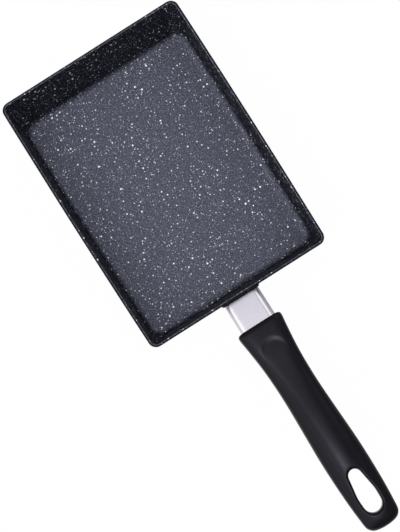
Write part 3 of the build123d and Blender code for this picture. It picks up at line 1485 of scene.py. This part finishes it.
    def even_out(self, shape: BMesh, rings: list[Ring], first: int) -> None:
        """Evens out the points round the slot, on the handle's own surface.

        Args:
            shape: The straight handle, which is changed.
            rings: Its rings of points from front to tail.
            first: Row where the slot starts.
        """
        last = first + self.slot.rows
        side, margin = self.slot.columns_each_side, self.slot.eased_margin
        around = []
        for row in range(first - margin, last + margin + 1):
            for column in range(-side - margin, side + margin + 1):
                if not (first <= row <= last and abs(column) <= side):
                    around += [rings[row][column], rings[row][self.columns // 2 - column]]
        for _ in range(self.slot.easings):
            bmesh.ops.smooth_vert(
                shape, verts=around, factor=0.5, use_axis_x=True, use_axis_y=True, use_axis_z=False
            )
        for point in around:
            point.co.z = math.copysign(self.crown(point.co.x, point.co.y), point.co.z)

    def open_slot(self, shape: BMesh, rings: list[Ring]) -> None:
        """Opens the hanging slot from top to bottom and rounds its rims.

        Args:
            shape: The straight handle, which is changed.
            rings: Its rings of points from front to tail.
        """
        first = self.reaches().index(self.slot.reaches()[0])
        side = self.slot.columns_each_side
        middle = self.columns // 2
        faces = []
        for row in range(first, first + self.slot.rows):
            for column in range(-side, side):
                for start, end in ((column, column + 1), (middle - column, middle - column - 1)):
                    corner, opposite = rings[row][start], rings[row + 1][end]
                    faces += [face for face in corner.link_faces if face in opposite.link_faces]
        bmesh.ops.delete(shape, geom=faces, context="FACES")

        spots = self.slot_spots(first)
        outline = self.slot.outline(len(spots))
        rims = []
        for up in (1, -1):
            loop = [rings[row][column if up > 0 else middle - column] for row, column in spots]
            for point, place in zip(loop, outline):
                point.co = (place.x, place.y, up * self.crown(place.x, place.y))
            rims += [shape.edges.get(pair) for pair in zip(loop, loop[1:] + loop[:1])]
        self.even_out(shape, rings, first)

        bmesh.ops.bridge_loops(shape, edges=rims)
        bmesh.ops.bevel(
            shape,
            geom=rims,
            offset=self.slot.rim_radius,
            offset_type="OFFSET",
            segments=self.slot.rim_segments,
            profile=0.5,
            affect="EDGES",
            material=-1,
        )
        bmesh.ops.recalc_face_normals(shape, faces=shape.faces)

    def seat_cutter(self) -> Object:
        """Makes the block that cuts the seat for the flame guard's end.

        Returns:
            The block, in metres, square to the handle's front.
        """
        width, height = self.seat_size
        shape = bmesh.new()
        bmesh.ops.create_grid(shape, x_segments=1, y_segments=1, size=0.5)
        bmesh.ops.scale(shape, verts=shape.verts, vec=(height, width, 1.0))
        bmesh.ops.bevel(
            shape,
            geom=shape.verts[:],
            offset=self.seat_corner,
            offset_type="OFFSET",
            segments=self.seat_corner_segments,
            profile=0.5,
            affect="VERTICES",
            material=-1,
        )
        block = bmesh.ops.extrude_face_region(shape, geom=shape.faces[:])["geom"]
        moved = [part for part in block if isinstance(part, BMVert)]
        bmesh.ops.translate(shape, verts=moved, vec=(0.0, 0.0, 2 * self.seat_depth))
        bmesh.ops.recalc_face_normals(shape, faces=shape.faces)
        place = Matrix.Translation(self.centre_line.start)
        turn = Matrix.Rotation(math.radians(90 - self.centre_line.rise), 4, "Y")
        back = Matrix.Translation((0.0, 0.0, -self.seat_depth))
        bmesh.ops.transform(shape, verts=shape.verts, matrix=place @ turn @ back)
        return self.as_object(shape, "seat_cutter")

    def bore_cutter(self, bore: Bore) -> Object:
        """Makes the level cylinder that cuts a bore.

        Args:
            bore: The bore.

        Returns:
            The cylinder, in metres.
        """
        shape = bmesh.new()
        middle = Vector(((bore.start + bore.end) / 2, 0.0, self.screw_height))
        bmesh.ops.create_cone(
            shape,
            cap_ends=True,
            segments=self.bore_segments,
            radius1=bore.radius,
            radius2=bore.radius,
            depth=bore.end - bore.start,
            matrix=Matrix.Translation(middle) @ Matrix.Rotation(math.pi / 2, 4, "Y"),
        )
        return self.as_object(shape, f"{bore.name}_cutter")

    @staticmethod
    def as_object(shape: BMesh, name: str, scale: float = MM) -> Object:
        """Turns a drawn shape to an object of the scene.

        Args:
            shape: The shape, which is used up.
            name: Name of the object and its mesh.
            scale: What its lengths are multiplied by.

        Returns:
            The object.
        """
        bmesh.ops.scale(shape, verts=shape.verts, vec=(scale,) * 3)
        mesh = bpy.data.meshes.new(name)
        shape.to_mesh(mesh)
        shape.free()
        made = bpy.data.objects.new(name, mesh)
        bpy.context.scene.collection.objects.link(made)
        return made

    def cut(self, piece: Object) -> None:
        """Cuts the flame guard's seat and the bores into the bent handle.

        Args:
            piece: The handle, which is changed.
        """
        cutters = [self.seat_cutter()] + [self.bore_cutter(bore) for bore in self.bores]
        for cutter in cutters:
            cut = piece.modifiers.new(cutter.name, "BOOLEAN")
            cut.operation = "DIFFERENCE"
            cut.solver = "EXACT"
            cut.object = cutter
        settle(piece)
        for cutter in cutters:
            bpy.data.objects.remove(cutter)

    def shade(self, mesh: Mesh) -> None:
        """Shades the handle smoothly, apart from its cut edges.

        Args:
            mesh: The handle's mesh, which is changed.
        """
        shape = bmesh.new()
        shape.from_mesh(mesh)
        for face in shape.faces:
            face.smooth = True
        for edge in shape.edges:
            edge.smooth = edge.calc_face_angle(0.0) < math.radians(self.sharp_angle)
        shape.to_mesh(mesh)
        shape.free()

    def build(self) -> None:
        """Draws, smooths, presses, bends and cuts the handle and gives it its resin."""
        shape, rings = self.loft()
        self.open_slot(shape, rings)
        piece = self.as_object(shape, "moulded_handle", scale=1.0)
        smooth = piece.modifiers.new("smooth", "SUBSURF")
        smooth.levels = smooth.render_levels = self.smoothing
        settle(piece)
        for vertex in piece.data.vertices:
            pressed = self.thumb_rest.press(vertex.co)
            vertex.co = self.centre_line.bend(pressed)
        self.cut(piece)
        self.shade(piece.data)
        piece.data.materials.clear()
        piece.data.materials.append(self.resin.make())
        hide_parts("handle")
        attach(piece, BODY)
        LOG.info("handle has %d faces", len(piece.data.polygons))


def main() -> None:
    """Builds the scene piece by piece."""
    logging.basicConfig(level=logging.INFO)
    Pan().build()
    Mount().build()
    Handle().build()
    Studio().build()


if __name__ == "__main__":
    main()
